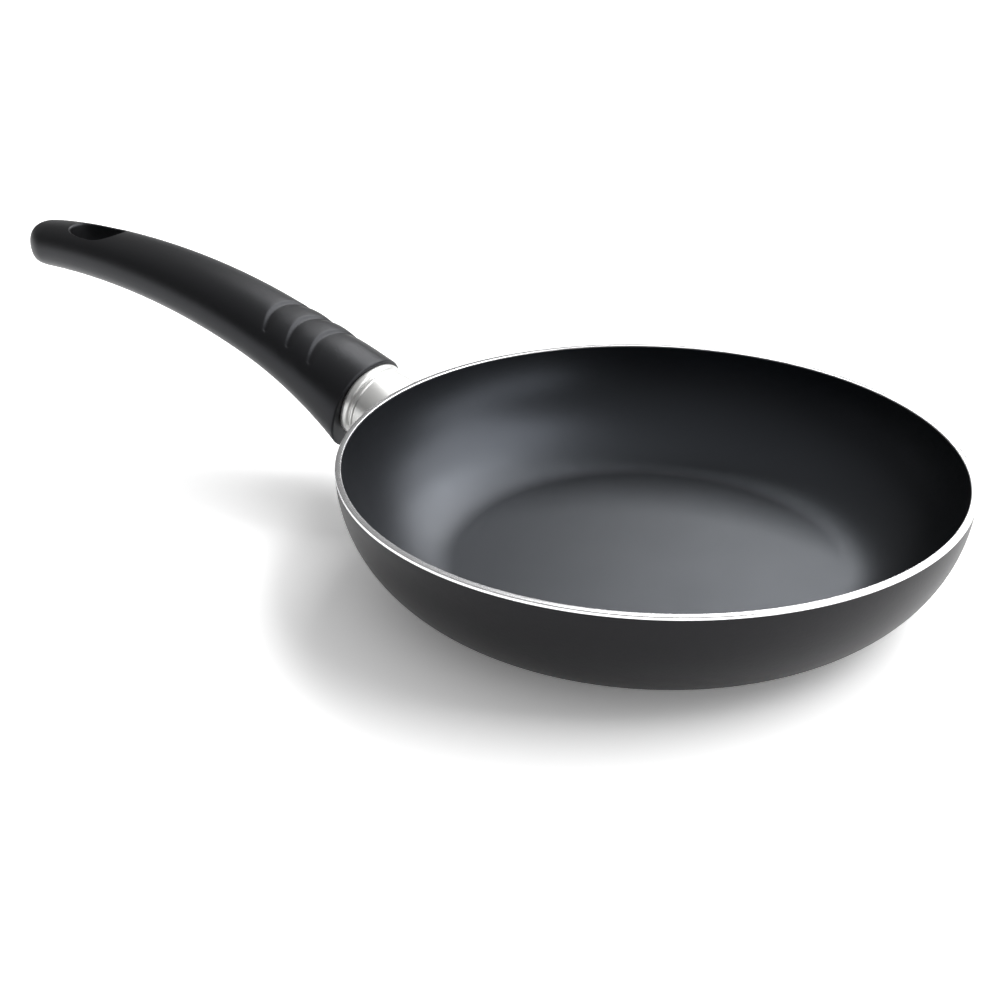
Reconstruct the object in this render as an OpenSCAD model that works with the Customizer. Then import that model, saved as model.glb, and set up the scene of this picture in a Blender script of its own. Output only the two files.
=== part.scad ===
// Omelette pan: a pressed aluminium body with a non-stick lining and a lacquered outside,
// a steel flame guard, and a one-piece moulded handle held by a single long-reach screw.
// Origin at the centre of the flat base, on the surface it stands on. +Z is up, and the
// handle runs along +X. All sizes are millimetres and degrees.

/* [Pan body] */
// Outside diameter at the rim
rim_d = 200; // [180:1:240]
// Height from the surface to the rim
pan_h = 40; // [36:1:50]
// Diameter of the flat part of the base
base_d = 126; // [110:1:140]
// Thickness of the side wall with its coats
wall_t = 2; // [1.6:0.1:3]
// Thickness of the base with its lining
base_t = 3; // [2:0.1:4]
// Height of the bare turned band round the outside of the rim
bare_band = 1; // [0.6:0.1:2]
// Size of the turned bevels on the two edges of the rim
rim_bevel = 0.3; // [0.1:0.05:0.5]

/* [Coats] */
// Thickness of the non-stick lining
lining_t = 0.3; // [0.2:0.05:0.5]
// Thickness of the outer lacquer
lacquer_t = 0.3; // [0.2:0.05:0.5]
// Distance of the lining's upper edge below the rim
lining_drop = 0.6; // [0.5:0.1:1.5]

/* [Turned base] */
// Number of turned grooves in the base
groove_count = 6; // [2:1:6]
// Radius of the innermost groove
groove_first_r = 16; // [12:1:18]
// Distance from one groove to the next
groove_pitch = 7; // [5:0.5:7]
// Width of a groove
groove_w = 1.6; // [0.8:0.1:2.5]
// Depth of a groove
groove_depth = 0.4; // [0.2:0.05:0.6]

/* [Flame guard] */
// Width of the guard behind its bead
guard_w = 28.8; // [27:0.2:32]
// Height of the guard behind its bead
guard_h = 23.2; // [22:0.2:26]
// Thickness of the sheet that the guard is pressed from
guard_sheet = 0.8; // [0.5:0.1:1.2]
// Upward tilt of the guard and of the screw that runs through it
guard_tilt = 15; // [12:0.5:17]
// Distance from the rim to the handle's face, along X
guard_reach = 16.2; // [14:0.2:22]
// Depth of the middle of the handle's face below the rim
guard_drop = 7.6; // [7:0.2:10]
// How much wider each side is where the guard meets the wall
guard_flare = 2.4; // [0:0.2:4]
// How much lower each edge is where the guard meets the wall
guard_pinch = 0.8; // [0.4:0.1:2]
// Length of the polished bead against the handle
bead_len = 3; // [2:0.2:4]
// Height of the bead over the sleeve
bead_h = 1.1; // [0.6:0.1:1.4]
// Length of the groove, and of the narrow band behind it
band_len = 1; // [0.6:0.1:1.6]
// Height of the narrow band over the sleeve
band_h = 0.5; // [0.2:0.1:0.8]

/* [Stud] */
// Diameter of the stud that carries the handle
stud_d = 11; // [9:0.5:12]
// Diameter of its welded root
stud_root_d = 17; // [14:0.5:18]
// How far the stud reaches into the handle
stud_reach = 4; // [2:0.5:6]
// Width across the two flats on the end of the stud
stud_flats = 9.4; // [8:0.2:10]
// Depth of the threaded hole in the stud
thread_depth = 15; // [13:0.5:16]

/* [Screw and washers] */
// Diameter of the screw's thread
screw_d = 5; // [4:0.5:6]
// Diameter of the screw's head
head_d = 7.6; // [7:0.1:8]
// Height of the screw's head
head_h = 3; // [2:0.1:4]
// Length of the thread inside the stud
thread_grip = 12; // [8:0.5:13]
// Outside diameter of both washers
washer_d = 7.8; // [7.2:0.1:8]
// Thickness of the flat washer
flat_washer_t = 1; // [0.6:0.1:1.5]
// Thickness of the spring washer
spring_washer_t = 1.3; // [0.8:0.1:1.6]
// Clearance round the screw, the washers and the stud
clearance = 0.2; // [0.1:0.05:0.3]

/* [Handle] */
// Reach of the handle from its face to its tail, along X
handle_reach = 169.5; // [155:0.5:190]
// Height of the middle of the tail above the middle of the face
handle_lift = 27.8; // [22:0.2:34]
// Distance of the middle of the front end below the screw
handle_drop = 2.9; // [2:0.1:4]
// Upward angle of the centre line at the front end
front_rise = 31; // [26:0.5:34]
// Downward angle of the centre line at the tail
tail_fall = 6; // [0:0.5:12]
// Length over which the front angle is held
front_pull = 60; // [50:1:66]
// Length over which the tail angle is held
tail_pull = 50; // [40:1:60]
// Width near the front, before the flare
front_w = 34.4; // [32:0.2:38]
// Width at the tail
tail_w = 22.8; // [21:0.2:28]
// Thickness near the front, before the flare
front_t = 24.8; // [24:0.2:28]
// Thickness at the tail
tail_t = 16.6; // [16:0.2:20]
// Extra width at the front end
flare_w = 2.4; // [1:0.2:6]
// Extra thickness at the front end
flare_t = 8.2; // [5:0.2:10]
// Length of the front flare
flare_len = 48; // [40:1:60]
// Squareness of the cross section, where 2 is an ellipse
squareness = 2.3; // [2:0.05:3]
// Length of the rounding at the tail, seen from above
tail_round = 13; // [9:0.5:16]
// Length of the rounding at the tail, seen from the side
tail_edge = 6; // [4:0.5:8]
// Bevel round the front face
face_bevel = 0.8; // [0.4:0.1:1.2]
// Length of the nose inside the guard
nose_len = 7; // [5:0.5:8]
// Length of handle between the stud and the washers
clamp_len = 10; // [8:0.5:14]
// Diameter of the access hole for the screw
access_d = 8.2; // [8.2:0.1:8.6]

/* [Grip] */
// Number of arched steps down the top
step_count = 3; // [1:1:3]
// Depth of a step
step_h = 0.7; // [0.3:0.05:1]
// Length of the slope of a step
step_run = 2.2; // [1.4:0.1:3]
// Swelling of the sides between two steps
step_swell = 0.45; // [0:0.05:0.6]
// Distance of the step nearest the tail from the front face
step_start = 47.9; // [44:0.1:52]
// Distance from one step to the next
step_pitch = 11.2; // [9:0.1:12]
// How far the middle of a step lies behind its ends
step_bow = 6.8; // [3:0.2:9]

/* [Hanging slot] */
// Length of the slot
slot_len = 24; // [18:0.5:26]
// Width of the slot at its pan end
slot_w = 17; // [12:0.2:17.4]
// Width of the slot at its tail end
slot_tail_w = 14; // [10:0.2:15]
// Distance from the slot to the tip of the tail
slot_margin = 23; // [18:0.5:30]
// Rounding of the slot's edges
slot_round = 1; // [0.5:0.1:1.5]

/* [Hidden] */
$fn = 72;

rim_r = rim_d / 2;
base_r = base_d / 2;
wall_steps = 36;
section_points = 48;
ring_clearance = 0.3;
// How far a cutter runs past the face that it opens
cut_past = 1;

// The wall is a quarter ellipse from the upright rim, where the angle is 0, to the flat base.
// The inset is side at the rim and under at the base.
function wall_point(angle, side, under) =
    [base_r + (rim_r - base_r - side) * cos(angle), pan_h - (pan_h - under) * sin(angle)];
function wall_curve(from, to, side, under) =
    [for (i = [0:wall_steps]) wall_point(from + (to - from) * i / wall_steps, side, under)];

band_angle = asin(bare_band / pan_h);
lining_angle = asin(lining_drop / pan_h);
foot_angle = 86;
foot_r = wall_point(foot_angle, 0, 0)[0];
foot_bevel = 0.2;

// Pan body
function base_groove(r) = [[r, 0], [r, groove_depth], [r + groove_w, groove_depth], [r + groove_w, 0]];
base_outline = concat(
    [[0, 0]],
    [for (i = [0:groove_count - 1]) each base_groove(groove_first_r + i * groove_pitch)],
    [[foot_r - foot_bevel, 0]]);
rim_outline = [
    wall_point(band_angle, 0, 0),
    [rim_r, pan_h - rim_bevel],
    [rim_r - rim_bevel, pan_h],
    [rim_r - wall_t + rim_bevel, pan_h],
    [rim_r - wall_t, pan_h - rim_bevel],
    wall_point(lining_angle, wall_t, base_t)];

module pan_body() {
    color("silver") rotate_extrude($fn = 180) polygon(concat(
        base_outline,
        [wall_point(foot_angle, 0, 0)],
        wall_curve(foot_angle, band_angle, lacquer_t, lacquer_t),
        rim_outline,
        wall_curve(lining_angle, 90, wall_t - lining_t, base_t - lining_t),
        [[0, base_t - lining_t]]));
}

// Coats: each follows the wall of the body and fills the step that the body leaves for it
module nonstick_lining() {
    color("#232427") rotate_extrude($fn = 180) polygon(concat(
        [[0, base_t]],
        wall_curve(90, lining_angle, wall_t, base_t),
        wall_curve(lining_angle, 90, wall_t - lining_t, base_t - lining_t),
        [[0, base_t - lining_t]]));
}

module outer_lacquer() {
    color("#2e2e31") difference() {
        rotate_extrude($fn = 180) polygon(concat(
            wall_curve(band_angle, foot_angle, 0, 0),
            wall_curve(foot_angle, band_angle, lacquer_t, lacquer_t)));
        stud_blank();
    }
}

// The screw's axis runs through the middle of the guard, tilted up towards the tail.
// On it, 0 is the handle's face and plus is towards the tail.
face_x = rim_r + guard_reach;
face_z = pan_h - guard_drop;
axis_dir = [cos(guard_tilt), sin(guard_tilt)];
module on_axis(at) {
    translate([face_x, 0, face_z]) rotate([0, 90 - guard_tilt, 0]) translate([0, 0, at]) children();
}
function axis_point(at, side, up) =
    [face_x + at * axis_dir[0] - up * axis_dir[1], side, face_z + at * axis_dir[1] + up * axis_dir[0]];

// Radius of the lacquered wall at a height, and the place on the axis where a line with the
// given offsets meets that wall, found by stepping towards it
function wall_radius(z) =
    base_r + (rim_r - base_r) * sqrt(1 - pow(1 - min(max(z, 0), pan_h) / pan_h, 2));
function radius_excess(p) = norm([p[0], p[1]]) - wall_radius(p[2]);
function meet_wall(side, up, at = -20, tries = 12) =
    tries == 0 ? at : meet_wall(side, up, at - 0.8 * radius_excess(axis_point(at, side, up)), tries - 1);

// Stud: welded to the bare wall, with a root that follows it and two flats on its end
root_stand = 1;
root_face = meet_wall(0, stud_root_d / 2) + root_stand;
weld_depth = 16;
thread_end = stud_reach - thread_depth;

module stud_blank() {
    on_axis(root_face - weld_depth) cylinder(h = weld_depth, d = stud_root_d);
}

module handle_stud() {
    color("gainsboro") difference() {
        union() {
            stud_blank();
            on_axis(root_face) cylinder(h = stud_reach - root_face, d = stud_d);
        }
        rotate_extrude($fn = 180) polygon(concat(
            [[0, pan_h]],
            wall_curve(0, 90, lacquer_t, lacquer_t),
            [[0, lacquer_t]]));
        on_axis(thread_end) cylinder(h = thread_depth + cut_past, d = screw_d);
        stud_flats_cut(stud_flats, stud_reach + cut_past);
    }
}

// Two slabs beside the stud's end, a set distance apart
module stud_flats_cut(across, end) {
    slab = 10;
    for (side = [-1, 1])
        on_axis(0) translate([-slab, side * (across + slab) / 2 - slab / 2, 0]) cube([2 * slab, slab, end]);
}

// Cross sections are superellipses, given as [side, up] from their middle
function section_point(angle, w, h, n) =
    [w / 2 * sign(cos(angle)) * pow(abs(cos(angle)), 2 / n),
     h / 2 * sign(sin(angle)) * pow(abs(sin(angle)), 2 / n)];
section_angles = [for (i = [0:section_points - 1]) (i + 0.5) * 360 / section_points];

// Skins through a list of rings with the same number of points, each anticlockwise as it is seen
// from the next. A tube's last ring joins its first.
function quad(a, b, c, d) = [[a, c, b], [a, d, c]];
function ring_faces(rings, n, wrap) = [
    for (r = [0:rings - (wrap ? 1 : 2)]) for (i = [0:n - 1])
        let (next = (r + 1) % rings, j = (i + 1) % n)
            each quad(r * n + i, r * n + j, next * n + j, next * n + i)];
module loft(rings) {
    n = len(rings[0]);
    polyhedron(
        points = [for (ring = rings) each ring],
        faces = concat(
            [[for (i = [0:n - 1]) i]],
            ring_faces(len(rings), n, false),
            [[for (i = [n - 1:-1:0]) (len(rings) - 1) * n + i]]));
}
module tube(rings) {
    polyhedron(
        points = [for (ring = rings) each ring],
        faces = ring_faces(len(rings), len(rings[0]), true));
}

// Flame guard: a rolled bead against the handle, a groove, a narrow band, and a sleeve that
// spreads sideways until it meets the wall
throat_at = -(bead_len + 2 * band_len);
guard_squareness = 2.3;
guard_shape = [
    [throat_at, 0],
    [throat_at + 0.3 * band_len, band_h],
    [-bead_len - 0.9 * band_len, band_h],
    [-bead_len - 0.6 * band_len, 0],
    [-bead_len - 0.2 * band_len, 0],
    for (a = [20:28:160]) [-bead_len * (1 + cos(a)) / 2, bead_h * sqrt(sin(a))],
    [0, bead_h / 3]];

function guard_ring(at, grow) = [
    for (a = section_angles)
        let (p = section_point(a, guard_w + 2 * grow, guard_h + 2 * grow, guard_squareness))
            axis_point(at, p[0], p[1])];
function wall_ring(grow) = [
    for (a = section_angles)
        let (p = section_point(a, guard_w + 2 * (guard_flare + grow), guard_h - 2 * (guard_pinch - grow),
                               guard_squareness))
            axis_point(meet_wall(p[0], p[1]), p[0], p[1])];
function between(ring_a, ring_b, share) =
    [for (i = [0:len(ring_a) - 1]) ring_a[i] + (ring_b[i] - ring_a[i]) * share];

sleeve_shares = [0, 0.3, 0.6, 0.85];
module flame_guard() {
    color("#c9c8c6") tube(concat(
        [for (share = sleeve_shares) between(wall_ring(0), guard_ring(throat_at, 0), share)],
        [for (p = guard_shape) guard_ring(p[0], p[1])],
        [guard_ring(0, -guard_sheet), guard_ring(throat_at, -guard_sheet), wall_ring(-guard_sheet)]));
}

// Centre line of the handle in the XZ plane: a cubic curve between the front end and the tail
front_mid = [face_x, face_z] + handle_drop * [axis_dir[1], -axis_dir[0]];
tail_mid = [face_x + handle_reach, face_z + handle_lift];
spine = [
    front_mid,
    front_mid + front_pull * [cos(front_rise), sin(front_rise)],
    tail_mid - tail_pull * [cos(tail_fall), -sin(tail_fall)],
    tail_mid];
function cubic(t) =
    pow(1 - t, 3) * spine[0] + 3 * pow(1 - t, 2) * t * spine[1]
    + 3 * (1 - t) * t * t * spine[2] + pow(t, 3) * spine[3];
function slope(t) =
    let (d = pow(1 - t, 2) * (spine[1] - spine[0]) + 2 * (1 - t) * t * (spine[2] - spine[1])
             + t * t * (spine[3] - spine[2]))
        atan2(d[1], d[0]);

// Tables from length along the centre line, and from X, to the curve's parameter
spine_steps = 60;
length_table = [
    for (i = 0, s = 0; i <= spine_steps; s = s + norm(cubic((i + 1) / spine_steps) - cubic(i / spine_steps)),
         i = i + 1)
        [s, i / spine_steps]];
x_table = [for (row = length_table) [cubic(row[1])[0], row[0]]];
handle_len = length_table[spine_steps][0];

function smooth(x) = let (c = min(max(x, 0), 1)) c * c * (3 - 2 * c);
function rounded_end(s, run) = let (c = max(0, 1 - (handle_len - s) / run)) sqrt(1 - c * c);
function front_swell(s) = pow(max(0, 1 - s / flare_len), 2);
function taper(s, front, tail) = front + (tail - front) * s / handle_len;
function width_at(s) = (taper(s, front_w, tail_w) + flare_w * front_swell(s)) * rounded_end(s, tail_round);
function thickness_at(s) = (taper(s, front_t, tail_t) + flare_t * front_swell(s)) * rounded_end(s, tail_edge);

// The sections turn from the tilt of the guard to square with the centre line
turn_len = 52;
function tilt_at(s) =
    guard_tilt + (slope(lookup(s, length_table)) - guard_tilt) * smooth(s / turn_len);
function handle_point(s, side, up) =
    let (mid = cubic(lookup(s, length_table)), tilt = tilt_at(s))
        [mid[0] - up * sin(tilt), side, mid[1] + up * cos(tilt)];

// The grip: rings bow towards the tail in the middle of the top. Each step drops towards the pan
// along its slope, and the top then comes back in a convex curve before the next one. A step ends
// sharply on both sides, where the surface swells a little between two steps. Heights round the
// section are sines of the angle: the step starts at side_start, sharply over side_edge on its
// slope and softly over side_fade behind it.
run_share = step_run / step_pitch;
return_power = 1.6;
side_start = 0.54;
side_edge = 0.1;
side_fade = 0.36;
side_turn = 0.4;
bow_fade = 36;
function bow_at(s) = step_bow * smooth(s / step_pitch) * (1 - smooth((s - step_start) / bow_fade));
function bow_side(angle) = sin(angle) > 0 ? pow(abs(cos(angle)), 4 / squareness) : 1;
function step_cut(q) = q < run_share ? q / run_share : pow((1 - q) / (1 - run_share), return_power);
function step_side(q, angle) =
    smooth((sin(angle) - side_start) / (side_edge + side_fade * smooth(q / run_share - side_turn)));
function swell_at(q, angle) =
    let (share = max(0, (q - run_share) / (1 - run_share)))
        step_swell * 4 * share * (1 - share) * pow(sin(2 * angle), 2);
function grip_at(s, angle) =
    let (phase = (step_start - s) / step_pitch, q = phase - floor(phase),
         swell = phase < step_count - 1 ? swell_at(q, angle) : 0)
        phase <= 0 || phase >= step_count || sin(angle) <= 0 ? 0
        : swell - step_h * step_cut(q) * step_side(q, angle);

function handle_ring(s, shrink = 0) = [
    for (angle = section_angles)
        let (at = s - bow_at(s) * bow_side(angle),
             p = section_point(angle, width_at(at) - 2 * shrink, thickness_at(at) - 2 * shrink, squareness))
            handle_point(at, p[0], p[1] + grip_at(s, angle))];

// The nose that fits inside the guard
nose_bevel = 0.5;
function nose_ring(at, shrink) = [
    for (a = section_angles)
        let (inset = 2 * (guard_sheet + ring_clearance + shrink),
             p = section_point(a, guard_w - inset, guard_h - inset, guard_squareness))
            axis_point(at, p[0], p[1])];

step_front = step_start - step_count * step_pitch;
front_positions = [for (i = [1:3]) step_front * i / 3];
step_shares = [
    for (share = [0.75, 0.5, 0.25]) run_share + (1 - run_share) * share,
    run_share,
    run_share / 2,
    0];
grip_positions = [
    for (i = [step_count - 1:-1:0]) for (share = step_shares) step_start - (i + share) * step_pitch];
shaft_steps = 16;
shaft_end = handle_len - tail_round;
shaft_positions = [
    for (i = [1:shaft_steps]) step_start + (shaft_end - step_start) * i / shaft_steps];
tail_positions = [for (a = [80:-10:10]) handle_len - tail_round * (1 - cos(90 - a)), handle_len - 0.2];

module handle_blank() {
    loft(concat(
        [nose_ring(-nose_len, nose_bevel), nose_ring(-nose_len + nose_bevel, 0), nose_ring(0, 0)],
        [handle_ring(0, face_bevel), handle_ring(face_bevel)],
        [for (s = concat(front_positions, grip_positions, shaft_positions, tail_positions))
            handle_ring(s)]));
}

// Hanging slot: a rounded hole, wider at its pan end, whose edges follow the crowned top and underside
slot_end = handle_len - slot_margin;
slot_mid_x = cubic(lookup(slot_end - slot_len / 2, length_table))[0];
slot_squareness = 2.6;
function slot_outline(angle, grow) =
    let (p = section_point(angle, slot_len + 2 * grow, 2, slot_squareness),
         w = (slot_w + slot_tail_w) / 2 - (slot_w - slot_tail_w) * p[0] / slot_len)
        [slot_mid_x + p[0], p[1] * (w / 2 + grow)];
function surface_z(x, y, side) =
    let (s = lookup(x, x_table), share = min(abs(2 * y / width_at(s)), 0.98))
        cubic(lookup(s, length_table))[1]
        + side * thickness_at(s) / 2 * pow(1 - pow(share, squareness), 1 / squareness);
function slot_ring(grow, depth, side) = [
    for (a = section_angles)
        let (p = slot_outline(a, grow))
            [p[0], p[1], surface_z(p[0], p[1], side) - side * depth]];
slot_edge = [for (a = [90, 60, 35]) slot_round * [1 - sin(a), 1 - cos(a)], slot_round * [1, -0.45]];
function slot_end_ring(side) = [
    for (a = section_angles)
        let (p = slot_outline(a, slot_round))
            [p[0], p[1], tail_mid[1] + side * tail_t]];

module slot_cutter() {
    loft(concat(
        [slot_end_ring(-1)],
        [for (i = [len(slot_edge) - 1:-1:0]) slot_ring(slot_edge[i][0], slot_edge[i][1], -1)],
        [for (p = slot_edge) slot_ring(p[0], p[1], 1)],
        [slot_end_ring(1)]));
}

// Handle: the access hole runs straight from the slot to the shoulder that the washers press on
shoulder_at = stud_reach + clearance + clamp_len;
module handle() {
    color("#2b2b2e") difference() {
        handle_blank();
        slot_cutter();
        screw_hole();
        access_hole();
        stud_socket();
    }
}

module screw_hole() {
    on_axis(0) cylinder(h = shoulder_at + cut_past, d = screw_d + 2 * clearance);
}

// The access hole stops in the middle of the slot
slot_on_axis = (slot_mid_x - face_x) / axis_dir[0];
module access_hole() {
    on_axis(shoulder_at) cylinder(h = slot_on_axis - shoulder_at, d = access_d);
}

module stud_socket() {
    difference() {
        on_axis(-nose_len - cut_past)
            cylinder(h = nose_len + cut_past + stud_reach + clearance, d = stud_d + 2 * clearance);
        stud_flats_cut(stud_flats + 2 * clearance, stud_reach + 2 * cut_past);
    }
}

// Screw and washers
flat_washer_at = shoulder_at;
spring_washer_at = flat_washer_at + flat_washer_t;
head_at = spring_washer_at + spring_washer_t;
tip_at = stud_reach - thread_grip;
drive_w = 1.2;
drive_depth = 1.4;

module handle_screw() {
    color("silver") difference() {
        union() {
            on_axis(tip_at) cylinder(h = head_at - tip_at, d = screw_d);
            on_axis(head_at) cylinder(h = head_h, d = head_d);
        }
        on_axis(head_at + head_h - drive_depth)
            translate([-head_d, -drive_w / 2, 0]) cube([2 * head_d, drive_w, drive_depth + cut_past]);
    }
}

module flat_washer() {
    color("silver") difference() {
        on_axis(flat_washer_at) cylinder(h = flat_washer_t, d = washer_d);
        on_axis(flat_washer_at - cut_past)
            cylinder(h = flat_washer_t + 2 * cut_past, d = screw_d + 2 * clearance);
    }
}

// The spring washer is split, and its cut slants
split_w = 0.8;
split_slant = 30;
module spring_washer() {
    color("gray") difference() {
        on_axis(spring_washer_at) cylinder(h = spring_washer_t, d = washer_d);
        on_axis(spring_washer_at - cut_past)
            cylinder(h = spring_washer_t + 2 * cut_past, d = screw_d + clearance);
        on_axis(spring_washer_at + spring_washer_t / 2) rotate([0, split_slant, 0])
            translate([-split_w / 2, 0, -spring_washer_t * 2])
                cube([split_w, washer_d, spring_washer_t * 4]);
    }
}

pan_body();
nonstick_lining();
outer_lacquer();
handle_stud();
flame_guard();
handle();
handle_screw();
flat_washer();
spring_washer();
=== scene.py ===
"""Looks of an omelette pan: its finishes, fine shells for its turned, pressed and moulded pieces,
and a pale studio. Everything is in metres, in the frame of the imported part."""
from math import asin, atan2, cos, hypot, pi, radians, sin, sqrt

import bmesh
import bpy
from bpy.props import FloatProperty, FloatVectorProperty, IntProperty, PointerProperty
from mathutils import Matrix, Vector


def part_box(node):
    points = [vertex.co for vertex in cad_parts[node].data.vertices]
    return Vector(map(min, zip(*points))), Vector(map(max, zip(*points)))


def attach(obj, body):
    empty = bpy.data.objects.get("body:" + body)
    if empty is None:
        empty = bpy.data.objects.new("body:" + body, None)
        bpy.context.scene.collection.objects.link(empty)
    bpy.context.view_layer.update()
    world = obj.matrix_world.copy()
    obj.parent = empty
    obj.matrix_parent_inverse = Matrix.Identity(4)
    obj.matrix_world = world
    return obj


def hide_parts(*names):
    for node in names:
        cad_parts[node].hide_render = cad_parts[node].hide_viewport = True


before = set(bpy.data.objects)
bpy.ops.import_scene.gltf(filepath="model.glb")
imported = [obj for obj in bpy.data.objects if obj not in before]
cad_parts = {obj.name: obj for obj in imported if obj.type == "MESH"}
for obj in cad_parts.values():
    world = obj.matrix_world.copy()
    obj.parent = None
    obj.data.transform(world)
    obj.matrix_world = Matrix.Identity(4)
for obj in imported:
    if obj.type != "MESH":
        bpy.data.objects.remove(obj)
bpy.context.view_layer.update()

RIM_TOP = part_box("pan_body")[1]

bl_info = {
    "name": "Omelette Pan",
    "version": (1, 0, 0),
    "blender": (4, 5, 0),
    "location": "View3D > Sidebar > Pan",
    "description": "Builds the looks of an omelette pan round its packed pieces",
    "category": "Object",
}


# Settings

def length(name, default, description):
    """A size in metres."""
    return FloatProperty(name=name, default=default, description=description,
                         min=0, precision=5, subtype="DISTANCE", unit="LENGTH")


def angle(name, default, description):
    """An angle, given in degrees and kept in radians."""
    return FloatProperty(name=name, default=radians(default), description=description,
                         subtype="ANGLE", unit="ROTATION")


def colour(name, default, description):
    """A linear colour."""
    return FloatVectorProperty(name=name, default=default, description=description,
                               size=3, min=0, max=1, subtype="COLOR")


def place(name, default, description):
    """A point in the part's frame."""
    return FloatVectorProperty(name=name, default=default, description=description,
                               size=3, subtype="TRANSLATION", unit="LENGTH")


def amount(name, default, description, top=1):
    """A plain number from 0 up."""
    return FloatProperty(name=name, default=default, description=description, min=0, max=top)


class PanSizes(bpy.types.PropertyGroup):
    """Sizes of the body, its coats and its turned base"""
    rim_r: length("Rim radius", RIM_TOP.y, "Outside radius at the rim")
    height: length("Height", RIM_TOP.z, "Height of the rim over the surface")
    base_r: length("Base radius", 0.063, "Radius at which the wall starts to rise")
    wall: length("Wall", 0.002, "Thickness of the side wall with its coats")
    base: length("Base", 0.003, "Thickness of the base with its lining")
    coat: length("Coat", 0.0003, "Thickness of each coat")
    bare_band: length("Bare band", 0.001, "Height of the bare band round the rim")
    lining_drop: length("Lining drop", 0.0006, "Distance of the lining below the rim")
    rim_round: length("Rim rounding", 0.0003, "Rounding of the two edges of the rim")
    grooves: IntProperty(name="Grooves", default=6, description="Turned grooves in the base")
    groove_first: length("First groove", 0.016, "Radius of the innermost groove")
    groove_pitch: length("Groove pitch", 0.007, "Distance between two grooves")
    groove_w: length("Groove width", 0.0016, "Width of a groove")
    groove_depth: length("Groove depth", 0.0004, "Depth of a groove")


class GuardSizes(bpy.types.PropertyGroup):
    """Sizes of the flame guard"""
    width: length("Width", 0.0288, "Width of the sleeve behind the bead")
    height: length("Height", 0.0232, "Height of the sleeve behind the bead")
    sheet: length("Sheet", 0.0008, "Thickness of the sheet")
    tilt: angle("Tilt", 15, "Upward tilt of the guard")
    reach: length("Reach", 0.0162, "Distance from the rim to the handle's face")
    drop: length("Drop", 0.0076, "Depth of the face's middle below the rim")
    flare: length("Flare", 0.0024, "Extra half width where the guard meets the wall")
    pinch: length("Pinch", 0.0008, "Lost half height where the guard meets the wall")
    bead: length("Bead", 0.003, "Length of the polished bead")
    bead_h: length("Bead height", 0.0011, "Height of the bead over the sleeve")
    band: length("Band", 0.001, "Length of the groove, and of the band behind it")
    band_h: length("Band height", 0.0005, "Height of the band over the sleeve")


class HandleSizes(bpy.types.PropertyGroup):
    """Sizes of the moulded handle"""
    reach: length("Reach", 0.1695, "Reach of the handle from its face to its tail")
    lift: length("Lift", 0.0278, "Height of the tail's middle over the face's middle")
    drop: length("Drop", 0.0029, "Distance of the front end's middle below the screw")
    rise: angle("Rise", 31, "Upward angle of the centre line at the front")
    fall: angle("Fall", 6, "Downward angle of the centre line at the tail")
    front_pull: length("Front pull", 0.060, "Length over which the front angle is held")
    tail_pull: length("Tail pull", 0.050, "Length over which the tail angle is held")
    front_w: length("Front width", 0.0344, "Width near the front, before the flare")
    tail_w: length("Tail width", 0.0228, "Width at the tail")
    front_t: length("Front thickness", 0.0248, "Thickness near the front")
    tail_t: length("Tail thickness", 0.0166, "Thickness at the tail")
    flare_w: length("Flare width", 0.0024, "Extra width at the front end")
    flare_t: length("Flare thickness", 0.0082, "Extra thickness at the front end")
    flare_len: length("Flare length", 0.048, "Length of the front flare")
    squareness: amount("Squareness", 2.3, "Squareness of the section, 2 for an ellipse", 4)
    tail_round: length("Tail rounding", 0.013, "Rounding of the tail from above")
    tail_edge: length("Tail edge", 0.006, "Rounding of the tail from the side")
    face_bevel: length("Face bevel", 0.0008, "Bevel round the front face")
    nose: length("Nose", 0.007, "Length of the nose inside the guard")
    steps: IntProperty(name="Steps", default=3, description="Arched steps down the grip")
    step_h: length("Step depth", 0.0007, "Depth of a step")
    step_run: length("Step run", 0.0022, "Length of the slope of a step")
    step_swell: length("Step swell", 0.00045, "Swelling of the sides between two steps")
    step_start: length("Step start", 0.0479, "Distance of the last step from the face")
    step_pitch: length("Step pitch", 0.0112, "Distance between two steps")
    step_bow: length("Step bow", 0.0068, "How far a step's middle lies behind its ends")
    slot_len: length("Slot length", 0.024, "Length of the hanging slot")
    slot_w: length("Slot width", 0.017, "Width of the slot at its pan end")
    slot_tail_w: length("Slot tail width", 0.014, "Width of the slot at its tail end")
    slot_margin: length("Slot margin", 0.023, "Distance from the slot to the tail's tip")
    slot_round: length("Slot rounding", 0.001, "Rounding of the slot's edges")
    shoulder: length("Shoulder", 0.0142, "Distance from the face to the washers")
    access_r: length("Access radius", 0.0041, "Radius of the screw's access hole")
    screw_r: length("Screw hole", 0.0027, "Radius of the screw's hole")
    socket_r: length("Socket radius", 0.0057, "Radius of the stud's socket")
    socket_flat: length("Socket flat", 0.0048, "Distance of the socket's flats from its axis")
    socket_depth: length("Socket depth", 0.0042, "Depth of the stud's socket")


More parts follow.
